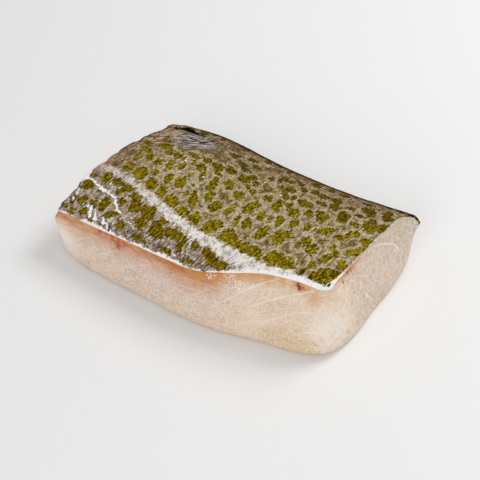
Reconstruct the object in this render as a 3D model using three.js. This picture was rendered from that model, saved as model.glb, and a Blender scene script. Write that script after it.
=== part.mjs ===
// A portion of cod fillet lying skin side up: a block of raw flesh, cut across the fish at both ends and
// along its front, with the skin still on top and folded down over the fish's back.
// Millimetres, +Z up. X runs along the fish from the thin end to the thick end, Y towards its back.
// The origin lies on the surface that the fillet rests on, under the middle of the fillet.

import * as THREE from "three";

const { clamp, degToRad, lerp, smoothstep } = THREE.MathUtils;

// Skin, with the clearance between its inner face and the flesh
const SKIN_THICKNESS = 1.0;
const SKIN_GAP = 0.3;

// The two cut ends in plan, from the front edge of the skin to its back edge
const THIN_END = { frontX: -58.8, backX: -50.1, bulge: 2.4, bulgeTo: 0.8 };
const THICK_END = { frontX: 55.7, backX: 60.5 };

// The skin's front edge is low and straight over the thin half (to a share of the length, the corner),
// then steps up and back over the thick half, where the flesh swells.
const FRONT_EDGE = { thinY: -33, cornerY: -37, thickY: -26.5, thinZ: 17.6, cornerZ: 20.9, thickZ: 26.9 };
const FRONT_CORNER = 0.55;
const FRONT_STEP_BACK = [0.5, 0.95];
const FRONT_STEP_UP = [0.55, 0.82];

// The shoulder is the line where the top turns down over the back, with a hump towards the thin end.
const SHOULDER = { thinY: 26.5, thickY: 22, thinZ: 18.6, thickZ: 26.8 };
const SHOULDER_HUMP = { out: 6, up: 2, at: 0.15, reach: 0.3 };

// The top is arched between front edge and shoulder, then folds down on a radius to a final slope.
const ARCH = { thin: 2.6, thick: 0.6, from: 0.2 };
const FOLD = { thinRadius: 12.5, thickRadius: 15, endSlope: degToRad(70) };

// How far the foot of the flesh spreads outside the edge of the skin, and how far its underside rounds in
const SPREAD = { frontThin: 6, frontThick: 10.6, thickEndFront: 6.4, thickEndBack: 1.3, thinEnd: 2, back: -1 };
const SPREAD_FRONT = [0.4, 1];
const SPREAD_THICK_END = [0.35, 1];
const UNDERCUT = 4;
const FACE_FULLNESS = 0.55;
const FOOT_FULLNESS = 0.9;
const CORNER_TURN = 12; // reach over which the outward direction turns at a corner
const CORNER_ROUND = 10; // reach over which the foot's corners are rounded

// Facets: along the fish, across it, down the sides, and from the rim to the middle of the top
const ALONG = 34;
const ACROSS = 22;
const DOWN = 9;
const INWARD = 10;
const INWARD_CROWDING = 1.5; // above 1 draws the loops towards the rim, where the fold is

const FLESH_MATERIAL = { color: 0xdcc8b4, roughness: 0.45, metalness: 0 };
const SKIN_MATERIAL = { color: 0x7d7656, roughness: 0.35, metalness: 0 };

const bell = (x, middle, reach) => Math.exp(-(((x - middle) / reach) ** 2));

// The skin's cross-section at station u, 0 at the thin end and 1 at the thick end
function station(u) {
  const toCorner = Math.min(u / FRONT_CORNER, 1);
  const hump = bell(u, SHOULDER_HUMP.at, SHOULDER_HUMP.reach);
  const stepBack = smoothstep(u, ...FRONT_STEP_BACK);
  const stepUp = smoothstep(u, ...FRONT_STEP_UP);
  const { thinY, cornerY, thickY, thinZ, cornerZ, thickZ } = FRONT_EDGE;
  return {
    frontY: lerp(thinY, cornerY, toCorner) + (thickY - cornerY) * stepBack,
    frontZ: lerp(thinZ, cornerZ, toCorner) + (thickZ - cornerZ) * stepUp,
    shoulderY: lerp(SHOULDER.thinY, SHOULDER.thickY, u) + SHOULDER_HUMP.out * hump,
    shoulderZ: lerp(SHOULDER.thinZ, SHOULDER.thickZ, u) + SHOULDER_HUMP.up * hump,
    arch: lerp(ARCH.thin, ARCH.thick, smoothstep(u, ARCH.from, 1)),
    foldRadius: lerp(FOLD.thinRadius, FOLD.thickRadius, u),
  };
}

// A point of the skin's outer face: w runs from 0 at the front edge to 1 at the end of the fold.
function skinPoint(u, w) {
  const { frontY, frontZ, shoulderY, shoulderZ, arch, foldRadius } = station(u);
  const span = shoulderY - frontY;
  const startSlope = Math.atan2(4 * arch - (shoulderZ - frontZ), span);
  const foldLength = foldRadius * (FOLD.endSlope - startSlope);
  const shoulderW = span / (span + foldLength);
  const s = Math.min(w / shoulderW, 1);
  const slope = lerp(startSlope, FOLD.endSlope, clamp((w - shoulderW) / (1 - shoulderW), 0, 1));
  const thinX =
    lerp(THIN_END.frontX, THIN_END.backX, w ** 2) -
    THIN_END.bulge * Math.sin(Math.PI * Math.min(w / THIN_END.bulgeTo, 1));
  const thickX = lerp(THICK_END.frontX, THICK_END.backX, w ** 3);
  return new THREE.Vector3(
    lerp(thinX, thickX, u),
    lerp(frontY, shoulderY, s) + foldRadius * (Math.sin(slope) - Math.sin(startSlope)),
    lerp(frontZ, shoulderZ, s) + 4 * arch * s * (1 - s) - foldRadius * (Math.cos(startSlope) - Math.cos(slope)),
  );
}

// The outward normal of the skin, from two short chords
function skinNormal(u, w) {
  const h = 1e-3;
  const chord = (a, b) => skinPoint(...b).sub(skinPoint(...a));
  const alongFish = chord([Math.max(u - h, 0), w], [Math.min(u + h, 1), w]);
  const acrossFish = chord([u, Math.max(w - h, 0)], [u, Math.min(w + h, 1)]);
  return alongFish.cross(acrossFish).normalize();
}

const belowSkin = (u, w, depth) => skinPoint(u, w).addScaledVector(skinNormal(u, w), -depth);

// The rim of the skin as (u, w) pairs, anticlockwise seen from above
function rimPairs() {
  const rim = [];
  for (let i = 0; i < ALONG; i++) rim.push([i / ALONG, 0]);
  for (let j = 0; j < ACROSS; j++) rim.push([1, j / ACROSS]);
  for (let i = ALONG; i > 0; i--) rim.push([i / ALONG, 1]);
  for (let j = ACROSS; j > 0; j--) rim.push([0, j / ACROSS]);
  return rim;
}

// The rim and the loops inside it, each drawn in towards the middle of the skin
function loopsOfPairs(rim) {
  const loops = [];
  for (let k = 0; k < INWARD; k++) {
    const size = 1 - (k / INWARD) ** INWARD_CROWDING;
    loops.push(rim.map(([u, w]) => [lerp(0.5, u, size), lerp(0.5, w, size)]));
  }
  return loops;
}

// Vectors given along a closed outline, each averaged with those within about the reach of it
function averageAlong(outline, vectors, reach) {
  const count = outline.length;
  const steps = outline.map((p, i) => p.distanceTo(outline[(i + 1) % count]));
  const places = [0];
  for (let i = 1; i < count; i++) places.push(places[i - 1] + steps[i - 1]);
  const around = places[count - 1] + steps[count - 1];
  return outline.map((_, i) => {
    const sum = new THREE.Vector2();
    let total = 0;
    vectors.forEach((vector, j) => {
      const apart = Math.abs(places[i] - places[j]);
      const share = (steps[j] + steps[(j + count - 1) % count]) / 2;
      const weight = share * bell(Math.min(apart, around - apart), 0, reach);
      sum.addScaledVector(vector, weight);
      total += weight;
    });
    return sum.divideScalar(total);
  });
}

// The outward direction at each point of an anticlockwise outline, turning gently at the corners
function outwardDirections(outline) {
  const count = outline.length;
  const normals = outline.map((_, i) => {
    const chord = outline[(i + 1) % count].clone().sub(outline[(i + count - 1) % count]);
    return new THREE.Vector2(chord.y, -chord.x).normalize();
  });
  return averageAlong(outline, normals, CORNER_TURN).map((n) => n.normalize());
}

// How far the foot spreads at a place on the rim that faces the given way
function spreadAt([u, w], facing) {
  const front = lerp(SPREAD.frontThin, SPREAD.frontThick, smoothstep(u, ...SPREAD_FRONT));
  const thickEnd = lerp(SPREAD.thickEndFront, SPREAD.thickEndBack, smoothstep(w, ...SPREAD_THICK_END));
  const endwise = facing.x > 0 ? facing.x * thickEnd : -facing.x * SPREAD.thinEnd;
  const sideways = facing.y > 0 ? facing.y * SPREAD.back : -facing.y * front;
  return endwise + sideways;
}

// The flesh's sides as loops from the base up to the edge of the skin, each side curve a cubic Bezier
function sideLoops(rim) {
  const top = rim.map(([u, w]) => belowSkin(u, w, SKIN_THICKNESS + SKIN_GAP));
  const edge = top.map((p) => new THREE.Vector2(p.x, p.y));
  const facing = outwardDirections(edge);
  const spread = edge.map((p, i) => p.clone().addScaledVector(facing[i], spreadAt(rim[i], facing[i])));
  const foot = averageAlong(edge, spread, CORNER_ROUND);
  const sides = top.map((start, i) => {
    const face = edge[i].clone().lerp(foot[i], FACE_FULLNESS);
    const toe = foot[i].clone().addScaledVector(facing[i], UNDERCUT * FOOT_FULLNESS);
    const base = foot[i].clone().addScaledVector(facing[i], -UNDERCUT);
    return new THREE.CubicBezierCurve3(
      start,
      new THREE.Vector3(face.x, face.y, start.z * FACE_FULLNESS),
      new THREE.Vector3(toe.x, toe.y, 0),
      new THREE.Vector3(base.x, base.y, 0),
    );
  });
  return Array.from({ length: DOWN + 1 }, (_, k) => sides.map((side) => side.getPoint(1 - k / DOWN)));
}

// A closed solid from anticlockwise loops of equally many points, with a middle point at each end
function loft(firstMiddle, loops, lastMiddle) {
  const count = loops[0].length;
  const points = [firstMiddle, ...loops.flat(), lastMiddle];
  const last = points.length - 1;
  const at = (loop, i) => 1 + loop * count + (i % count);
  const faces = [];
  for (let i = 0; i < count; i++) {
    faces.push(0, at(0, i + 1), at(0, i));
    for (let k = 0; k + 1 < loops.length; k++) {
      faces.push(at(k, i), at(k, i + 1), at(k + 1, i + 1));
      faces.push(at(k, i), at(k + 1, i + 1), at(k + 1, i));
    }
    faces.push(last, at(loops.length - 1, i), at(loops.length - 1, i + 1));
  }
  const geometry = new THREE.BufferGeometry().setFromPoints(points);
  geometry.setIndex(faces);
  geometry.computeVertexNormals();
  return geometry;
}

function middleOf(loop) {
  return loop.reduce((sum, p) => sum.add(p), new THREE.Vector3()).divideScalar(loop.length);
}

function fleshGeometry() {
  const rim = rimPairs();
  const sides = sideLoops(rim);
  const depth = SKIN_THICKNESS + SKIN_GAP;
  const inner = loopsOfPairs(rim).slice(1);
  const top = inner.map((loop) => loop.map(([u, w]) => belowSkin(u, w, depth)));
  return loft(middleOf(sides[0]), [...sides, ...top], belowSkin(0.5, 0.5, depth));
}

function skinGeometry() {
  const loops = loopsOfPairs(rimPairs());
  const outer = loops.map((loop) => loop.map(([u, w]) => skinPoint(u, w)));
  const inner = loops.map((loop) => loop.map(([u, w]) => belowSkin(u, w, SKIN_THICKNESS)));
  return loft(belowSkin(0.5, 0.5, SKIN_THICKNESS), [...inner.reverse(), ...outer], skinPoint(0.5, 0.5));
}

function namedMesh(name, geometry, look) {
  const mesh = new THREE.Mesh(geometry, new THREE.MeshStandardMaterial(look));
  mesh.name = name;
  return mesh;
}

const fillet = new THREE.Group();
fillet.add(namedMesh("flesh", fleshGeometry(), FLESH_MATERIAL));
fillet.add(namedMesh("skin", skinGeometry(), SKIN_MATERIAL));

export default fillet;
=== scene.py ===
"""Looks of a raw cod fillet: fine meshes for its flesh and its skin, their materials, a floor, lights and
a camera. Lengths are in millimetres, and become metres where they are handed to Blender.
"""
import math
from types import SimpleNamespace

import bpy
import numpy as np
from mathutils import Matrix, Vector


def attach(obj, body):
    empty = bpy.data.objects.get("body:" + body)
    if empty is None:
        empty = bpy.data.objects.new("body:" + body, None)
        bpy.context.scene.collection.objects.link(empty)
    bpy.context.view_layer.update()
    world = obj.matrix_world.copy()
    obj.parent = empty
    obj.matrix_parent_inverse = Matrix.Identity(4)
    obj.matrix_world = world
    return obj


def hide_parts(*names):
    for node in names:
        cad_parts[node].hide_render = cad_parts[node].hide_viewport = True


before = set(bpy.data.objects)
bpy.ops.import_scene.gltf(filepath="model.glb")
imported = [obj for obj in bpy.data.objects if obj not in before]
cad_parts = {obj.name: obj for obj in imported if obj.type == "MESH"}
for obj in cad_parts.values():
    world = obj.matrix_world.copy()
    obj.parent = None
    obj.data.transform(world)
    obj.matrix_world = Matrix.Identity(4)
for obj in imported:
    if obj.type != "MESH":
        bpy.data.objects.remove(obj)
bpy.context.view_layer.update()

MM = 0.001

# The fillet's form, with the values of the solids, apart from a smaller bulge at the thin end
SKIN_DEPTH = 1.3  # from the skin's outer face down to the flesh
THIN_END = {"front_x": -58.8, "back_x": -50.1, "bulge": 1.6, "bulge_to": 0.8}
THICK_END = {"front_x": 55.7, "back_x": 60.5}
FRONT_EDGE = {
    "thin_y": -33, "corner_y": -37, "thick_y": -26.5,
    "thin_z": 17.6, "corner_z": 20.9, "thick_z": 26.9,
}
FRONT_CORNER = 0.55
FRONT_STEP_BACK = (0.5, 0.95)
FRONT_STEP_UP = (0.55, 0.82)
SHOULDER = {"thin_y": 26.5, "thick_y": 22, "thin_z": 18.6, "thick_z": 26.8}
SHOULDER_HUMP = {"out": 6, "up": 2, "at": 0.15, "reach": 0.3}
ARCH = {"thin": 2.6, "thick": 0.6, "start": 0.2}
FOLD = {"thin_radius": 12.5, "thick_radius": 15, "end_slope": math.radians(70)}
SPREAD = {
    "front_thin": 6, "front_thick": 10.6, "thick_front": 6.4, "thick_back": 1.3, "thin_end": 2, "back": -1,
}
SPREAD_FRONT = (0.4, 1)
SPREAD_THICK_END = (0.35, 1)
UNDERCUT = 4
FACE_FULLNESS = 0.55
FOOT_FULLNESS = 0.9
CORNER_TURN = 12  # reach over which the outward direction turns at a corner
CORNER_ROUND = 10  # reach over which the foot's corners are rounded
INWARD_CROWDING = 1.5  # above 1 draws the inner loops towards the rim

# Small changes to that form, which the solids leave out
FRONT_SWELL = {"u": 0.27, "reach": 0.14, "height": 0.8}
FRONT_HOLLOW = {"u": 0.84, "reach": 0.07, "depth": 1.0}
THIN_TOE = {"reach_u": 0.06, "reach_w": 0.1, "depth": 3.6}
FACE_ROUND = 7  # reach over which the sides' corners are rounded
SKIN_CORNER = {"u": 0.04, "w": 0.055, "inward": 1.3}


# Small mathematical helpers

LATTICE = 64  # a noise repeats after this many of its own sizes


def lerp(a, b, t):
    return a + (b - a) * t


def smoothstep(x, low, high):
    t = np.clip((x - low) / (high - low), 0, 1)
    return t * t * (3 - 2 * t)


def bell(x, middle, reach):
    return np.exp(-(((x - middle) / reach) ** 2))


def unit(vectors):
    return vectors / np.linalg.norm(vectors, axis=-1, keepdims=True)


def lengths(points, axis):
    """The lengths along the lines of a grid of points, from their start to each point."""
    steps = np.linalg.norm(np.diff(points, axis=axis), axis=2)
    return np.insert(steps.cumsum(axis), 0, 0, axis)


def noise(x, y, size, seed):
    """Smooth random values from -1 to 1 that change over about the given size."""
    lattice = np.random.default_rng(seed).uniform(-1, 1, (LATTICE, LATTICE))
    x, y = np.broadcast_arrays(x / size, y / size)
    column, row = np.floor(x).astype(int), np.floor(y).astype(int)
    across, down = smoothstep(x - column, 0, 1), smoothstep(y - row, 0, 1)

    def corner(i, j):
        return lattice[(column + i) % LATTICE, (row + j) % LATTICE]

    near = lerp(corner(0, 0), corner(1, 0), across)
    far = lerp(corner(0, 1), corner(1, 1), across)
    return lerp(near, far, down)


def noises(x, y, layers):
    """The sum of noises that are each given by an amount, a size and a seed."""
    return sum(amount * noise(x, y, size, seed) for amount, size, seed in layers)


# The form of the skin and of the flesh's sides

MIDDLE = np.array([0.5])


def station(u):
    """The skin's cross-section at station u, 0 at the thin end and 1 at the thick end."""
    f, s = FRONT_EDGE, SHOULDER
    to_corner = np.minimum(u / FRONT_CORNER, 1)
    hump = bell(u, SHOULDER_HUMP["at"], SHOULDER_HUMP["reach"])
    front_y = lerp(f["thin_y"], f["corner_y"], to_corner)
    front_z = lerp(f["thin_z"], f["corner_z"], to_corner)
    return {
        "front_y": front_y + (f["thick_y"] - f["corner_y"]) * smoothstep(u, *FRONT_STEP_BACK),
        "front_z": front_z + (f["thick_z"] - f["corner_z"]) * smoothstep(u, *FRONT_STEP_UP),
        "shoulder_y": lerp(s["thin_y"], s["thick_y"], u) + SHOULDER_HUMP["out"] * hump,
        "shoulder_z": lerp(s["thin_z"], s["thick_z"], u) + SHOULDER_HUMP["up"] * hump,
        "arch": lerp(ARCH["thin"], ARCH["thick"], smoothstep(u, ARCH["start"], 1)),
        "radius": lerp(FOLD["thin_radius"], FOLD["thick_radius"], u),
    }


def skin_face(u, w):
    """Points of the skin's outer face with a square front corner: w runs from 0 at the front edge to 1 at the
    end of the fold."""
    at = station(u)
    span = at["shoulder_y"] - at["front_y"]
    slope = np.arctan2(4 * at["arch"] - (at["shoulder_z"] - at["front_z"]), span)
    fold_length = at["radius"] * (FOLD["end_slope"] - slope)
    shoulder_w = span / (span + fold_length)
    s = np.minimum(w / shoulder_w, 1)
    turned = lerp(slope, FOLD["end_slope"], np.clip((w - shoulder_w) / (1 - shoulder_w), 0, 1))
    bulge = THIN_END["bulge"] * np.sin(np.pi * np.minimum(w / THIN_END["bulge_to"], 1))
    thin_x = lerp(THIN_END["front_x"], THIN_END["back_x"], w**2) - bulge
    thick_x = lerp(THICK_END["front_x"], THICK_END["back_x"], w**3)
    y = lerp(at["front_y"], at["shoulder_y"], s) + at["radius"] * (np.sin(turned) - np.sin(slope))
    z = lerp(at["front_z"], at["shoulder_z"], s) + 4 * at["arch"] * s * (1 - s)
    z = z - at["radius"] * (np.cos(slope) - np.cos(turned))
    return np.stack(np.broadcast_arrays(lerp(thin_x, thick_x, u), y, z), -1)


def skin_point(u, w):
    """The skin's outer face with its front corner at the thick end rounded."""
    near_end = np.maximum(1 - (1 - u) / SKIN_CORNER["u"], 0)
    near_front = np.maximum(1 - w / SKIN_CORNER["w"], 0)
    inward = SKIN_CORNER["inward"] * (near_end * near_front) ** 2
    return skin_face(u, w) + inward[..., None] * np.array([-1, 1, 0])


def skin_normal(u, w):
    h = 1e-3
    along = skin_face(np.minimum(u + h, 1), w) - skin_face(np.maximum(u - h, 0), w)
    across = skin_face(u, np.minimum(w + h, 1)) - skin_face(u, np.maximum(w - h, 0))
    return unit(np.cross(along, across))


def under_skin(u, w):
    """Points under the skin, which are also the flesh's top."""
    return skin_point(u, w) - skin_normal(u, w) * SKIN_DEPTH


def inner_loops(u, w, count):
    """Loops under the skin inside the given rim, each smaller than the one before."""
    sizes = 1 - (np.arange(1, count) / count) ** INWARD_CROWDING
    return [under_skin(lerp(0.5, u, size), lerp(0.5, w, size)) for size in sizes]


def rim_pairs(along, across):
    """The rim of the skin as u and w, anticlockwise seen from above."""
    i, j = np.arange(along) / along, np.arange(across) / across
    u = np.concatenate([i, np.ones(across), 1 - i, np.zeros(across)])
    w = np.concatenate([np.zeros(along), j, np.ones(along), 1 - j])
    return u, w


def average_along(outline, vectors, reach):
    """Vectors given along a closed outline, each averaged with those within about the reach of it."""
    steps = np.linalg.norm(np.roll(outline, -1, 0) - outline, axis=1)
    places = np.cumsum(steps) - steps
    apart = np.abs(places[:, None] - places)
    weights = bell(np.minimum(apart, steps.sum() - apart), 0, reach) * (steps + np.roll(steps, 1)) / 2
    return weights @ vectors / weights.sum(1, keepdims=True)


def outward_directions(outline):
    chords = np.roll(outline, -1, 0) - np.roll(outline, 1, 0)
    normals = unit(np.stack([chords[:, 1], -chords[:, 0]], 1))
    return unit(average_along(outline, normals, CORNER_TURN))


def spread_at(u, w, facing):
    """How far the foot spreads at places on the rim that face the given ways."""
    front = lerp(SPREAD["front_thin"], SPREAD["front_thick"], smoothstep(u, *SPREAD_FRONT))
    front = front + FRONT_SWELL["height"] * bell(u, FRONT_SWELL["u"], FRONT_SWELL["reach"])
    front = front - FRONT_HOLLOW["depth"] * bell(u, FRONT_HOLLOW["u"], FRONT_HOLLOW["reach"])
    thick_end = lerp(SPREAD["thick_front"], SPREAD["thick_back"], smoothstep(w, *SPREAD_THICK_END))
    endwise = np.where(facing[:, 0] > 0, facing[:, 0] * thick_end, -facing[:, 0] * SPREAD["thin_end"])
    sideways = np.where(facing[:, 1] > 0, facing[:, 1] * SPREAD["back"], -facing[:, 1] * front)
    toe = THIN_TOE["depth"] * bell(u, 0, THIN_TOE["reach_u"]) * bell(w, 0, THIN_TOE["reach_w"])
    return endwise + sideways - toe


def side_loops(u, w, down):
    """The flesh's sides as loops from the skin's edge to the base, each side curve a cubic Bezier."""
    top = under_skin(u, w)
    edge = top[:, :2]
    facing = outward_directions(edge)
    foot = average_along(edge, edge + facing * spread_at(u, w, facing)[:, None], CORNER_ROUND)
    level = np.zeros((len(u), 1))
    turned = average_along(edge, edge, FACE_ROUND)
    face = np.hstack([lerp(turned, foot, FACE_FULLNESS), top[:, 2:] * FACE_FULLNESS])
    toe = np.hstack([foot + facing * UNDERCUT * FOOT_FULLNESS, level])
    base = np.hstack([foot - facing * UNDERCUT, level])
    t = np.linspace(0, 1, down + 1)[:, None, None]
    return (1 - t) ** 3 * top + 3 * t * (1 - t) ** 2 * face + 3 * t**2 * (1 - t) * toe + t**3 * base


# Meshes from arrays

def quads(columns, rows):
    """Faces of a grid of points that are numbered along the rows first."""
    i, j = np.meshgrid(np.arange(columns - 1), np.arange(rows - 1), indexing="ij")
    near = i * rows + j
    far = near + rows
    return np.stack([near, far, far + 1, near + 1], -1).reshape(-1, 4)


def mesh_piece(name, points, faces, fields, material, node):
    """A smooth piece that stands for a CAD node, with its fields as attributes of its points."""
    mesh = bpy.data.meshes.new(name)
    mesh.from_pydata((points * MM).tolist(), [], faces)
    mesh.update()
    for field, values in fields.items():
        flat = np.ascontiguousarray(values, np.float32)
        if flat.ndim == 1:
            mesh.attributes.new(field, "FLOAT", "POINT").data.foreach_set("value", flat)
        else:
            mesh.attributes.new(field, "FLOAT_VECTOR", "POINT").data.foreach_set("vector", flat.ravel())
    mesh.shade_smooth()
    mesh.materials.append(material)
    piece = bpy.data.objects.new(name, mesh)
    bpy.context.scene.collection.objects.link(piece)
    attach(piece, "root")
    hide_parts(node)


# Marks on the skin, in flat coordinates: x along the fish, b from the end of the fold forwards over the skin

STRIPE_EDGES = (  # x, and the b of both edges of the pale stripe along the fish's side
    (-62, 50.6, 52.8), (-50, 51.4, 54.8), (-43, 52.9, 56.7), (-38.5, 55.0, 57.8), (-34, 55.6, 59.6),
    (-28, 56.8, 61.6), (-21, 58.8, 63.0), (-13, 60.2, 64.8), (-5, 61.2, 66.0), (3, 61.8, 66.8),
    (8, 62.2, 67.2), (13, 62.6, 68.6), (18, 63.2, 70.6), (23, 64.2, 72.5), (28, 65.6, 74.0),
    (34, 65.0, 74.0), (40, 63.4, 73.0), (46, 64.5, 73.0),
)
# How far a spot leans along x for each millimetre of b, where its row gives no lean of its own
SPOT_LEAN = 0.2
STRIPE_SPOTS = (  # along the stripe's back edge: x, b, the half lengths along both and, for some, the lean
    (-47.9, 48.1, 2.2, 2.4), (-41.5, 49.5, 2.6, 3.4), (-34.1, 52.5, 2.6, 2.9), (-27.7, 54.0, 2.0, 3.8),
    (-21.3, 55.8, 2.9, 3.4), (-14.0, 57.3, 2.6, 2.7), (-7.9, 57.5, 2.3, 3.1), (0.0, 57.4, 2.9, 4.2, -0.3),
    (7.2, 57.6, 1.8, 3.6, 0), (10.5, 59.0, 2.6, 3.0), (13.8, 60.2, 2.6, 2.2), (17.2, 60.8, 2.2, 2.8),
    (21.5, 60.8, 3.0, 2.6), (25.0, 62.8, 1.0, 2.0), (30.3, 61.8, 3.0, 4.1), (32.4, 58.9, 1.6, 1.4),
    (36.3, 61.6, 3.1, 2.5), (36.0, 58.8, 1.3, 1.4), (42.8, 61.8, 0.7, 2.8, -0.25), (44.2, 57.4, 1.1, 1.6),
    (51.2, 60.6, 4.8, 5.2, -0.25),
)
SIDE_SPOTS = (
    (-48.8, 41.4, 1.2, 2.2), (-44.4, 39.4, 1.4, 2.8), (-39.6, 40.2, 1.6, 2.0), (-34.6, 40.0, 1.3, 3.4),
    (-29.9, 38.1, 1.3, 2.2), (-23.9, 39.0, 1.0, 1.2), (-19.6, 37.4, 1.4, 2.4), (-13.3, 38.4, 2.0, 3.0),
    (-8.2, 34.4, 2.2, 2.6, 0.4), (-1.2, 37.3, 2.4, 2.4), (-37.1, 46.3, 1.5, 2.0), (-29.7, 46.3, 1.6, 2.6),
    (-24.3, 45.3, 2.2, 3.1), (-18.6, 49.3, 1.2, 1.6), (-14.7, 49.4, 1.5, 4.3, 0.5), (-10.4, 44.6, 1.7, 2.8),
    (-4.9, 48.0, 2.3, 3.0, -0.15), (1.0, 45.8, 1.3, 3.3, -0.1), (6.7, 40.3, 2.2, 3.6, -0.1),
    (12.7, 42.2, 1.6, 2.9), (16.7, 42.2, 0.8, 1.6), (20.8, 41.9, 1.5, 3.2), (6.4, 49.3, 1.2, 2.6),
    (10.5, 49.0, 1.5, 2.6), (18.5, 50.6, 2.3, 3.7, 0), (26.5, 50.7, 2.0, 4.5), (24.5, 47.0, 1.1, 1.4),
    (28.3, 47.3, 1.2, 1.6), (36.0, 47.3, 1.3, 2.4), (34.5, 50.8, 1.3, 2.0), (39.6, 50.0, 1.6, 2.8),
    (48.5, 48.1, 1.4, 1.6), (46.4, 51.6, 1.7, 3.0, -0.2), (53.2, 52.0, 1.9, 2.4), (26.5, 40.4, 1.4, 2.4),
    (31.5, 40.1, 1.3, 2.2), (38.8, 38.1, 2.3, 2.8, -0.6), (47.8, 34.9, 1.9, 2.5, -0.4),
    (45.4, 38.8, 2.2, 2.2, -0.4), (45.4, 45.5, 1.5, 1.8), (53.6, 43.6, 2.6, 3.2, -0.5),
    (54.4, 36.6, 2.3, 2.2),
)
BACK_SPOTS = (
    (-51.9, 30.2, 2.2, 1.4), (-43.7, 29.3, 2.0, 1.6), (-40.0, 32.6, 1.2, 1.8), (-35.0, 32.7, 2.4, 1.4),
    (-48.9, 35.4, 2.0, 1.7), (-11.4, 20.6, 1.8, 1.1), (-9.1, 15.8, 1.6, 1.0), (-5.2, 18.6, 1.6, 1.1),
    (-16.6, 18.4, 1.6, 1.0), (-46.0, 25.2, 1.4, 1.0), (-53.0, 25.0, 1.4, 0.9), (-30.0, 28.8, 1.8, 1.7),
    (-27.0, 32.6, 1.0, 1.2), (-23.9, 28.5, 1.7, 1.5), (-23.0, 33.2, 1.8, 1.7), (-18.0, 28.7, 1.8, 1.9),
    (-15.5, 31.9, 1.2, 1.2), (-12.2, 27.0, 1.8, 2.0), (-8.0, 23.2, 1.2, 0.8), (-5.0, 27.9, 1.6, 2.4),
    (-2.9, 24.9, 1.3, 1.4), (0.5, 27.3, 1.1, 1.3), (-1.1, 30.5, 1.0, 1.2), (2.0, 32.3, 1.2, 1.2),
    (4.6, 34.3, 1.0, 1.0), (3.5, 21.0, 0.9, 1.4), (7.3, 17.6, 1.2, 1.0), (10.5, 18.5, 1.4, 0.8),
    (14.6, 17.0, 1.2, 0.8), (18.1, 19.8, 1.0, 1.4), (10.8, 23.8, 2.2, 1.4), (13.7, 22.4, 1.4, 1.2),
    (13.9, 27.3, 1.2, 1.3), (17.5, 26.7, 1.0, 1.4), (23.4, 27.1, 2.3, 2.3), (22.3, 18.5, 1.0, 1.3),
    (9.3, 32.3, 1.4, 2.2), (14.8, 34.2, 1.6, 3.6), (18.4, 31.4, 1.3, 1.6), (22.2, 34.3, 1.9, 2.3),
    (26.7, 19.3, 1.8, 1.3), (32.3, 19.1, 1.6, 1.2), (39.1, 20.7, 1.2, 0.9), (33.9, 22.8, 1.5, 1.9),
    (29.1, 24.1, 1.5, 1.2), (45.8, 18.9, 2.0, 1.9), (47.7, 21.2, 1.0, 1.0), (44.8, 23.3, 1.3, 1.0),
    (53.6, 18.8, 1.7, 3.2), (39.6, 27.3, 1.9, 3.4), (45.5, 29.2, 1.2, 1.3), (33.2, 31.3, 1.8, 3.2, 0.35),
    (27.7, 32.1, 1.4, 1.6), (50.9, 27.3, 2.2, 4.0), (55.6, 26.5, 1.0, 3.0), (20.2, 13.6, 1.4, 1.8),
    (26.7, 13.4, 1.5, 1.5), (33.0, 14.0, 1.8, 1.2), (43.5, 14.6, 1.4, 0.9),
)
FRONT_SPOTS = (  # between the stripe and the front edge
    (-57.6, 58.6, 1.0, 1.0), (-51.6, 57.6, 2.0, 3.0), (-45.6, 58.2, 2.4, 2.2), (-40.2, 59.4, 2.4, 2.2),
    (-42.3, 62.5, 1.4, 1.6), (-34.4, 61.3, 2.4, 2.0), (-55.9, 64.0, 2.2, 2.7), (-49.1, 64.8, 1.3, 1.2),
    (-31.8, 65.6, 2.5, 3.2), (-52.4, 71.8, 2.1, 1.9), (-56.4, 72.4, 1.3, 1.8), (-57.5, 76.6, 1.2, 1.2),
    (-53.2, 78.0, 1.2, 1.4), (-47.3, 71.8, 1.4, 2.0), (-43.4, 70.5, 2.0, 3.4), (-38.0, 66.9, 1.6, 1.8),
    (-37.4, 73.7, 2.3, 2.6, -0.7), (-48.4, 76.7, 1.4, 1.8), (-43.8, 78.8, 1.4, 1.3),
    (-25.3, 65.7, 3.1, 3.3), (-24.6, 71.4, 2.4, 2.7), (-31.1, 76.2, 2.0, 1.9), (-21.0, 77.4, 3.6, 0.9, 0),
    (-18.2, 70.5, 2.4, 3.4), (-17.8, 65.0, 2.0, 2.4), (-9.6, 68.2, 4.7, 2.2, 0), (-14.6, 71.0, 2.0, 2.6),
    (-4.4, 71.4, 1.4, 2.8), (-8.0, 76.6, 2.2, 1.3), (0.5, 68.3, 2.0, 1.6), (2.2, 76.2, 2.2, 1.1),
    (7.3, 69.2, 2.8, 2.8), (10.8, 71.6, 2.6, 2.4), (15.0, 72.4, 2.8, 1.8),
)
BACK_STRETCH = 1.3  # the spots near the back are this much longer than their rows say
RANDOM_SEED = 11
FOLD_SPOTS = {"count": 60, "half": (0.8, 1.8), "b": (-1.0, 13.0)}
SMALL_SPOTS = {"count": 14, "half": (0.45, 0.85), "b": (14.0, 56.0)}
STREWN_X = (-62, 62)
SPOT_TALL = 1.3
FAR_FROM_SPOTS, FAR_FROM_LINES = -10.0, 50.0
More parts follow.
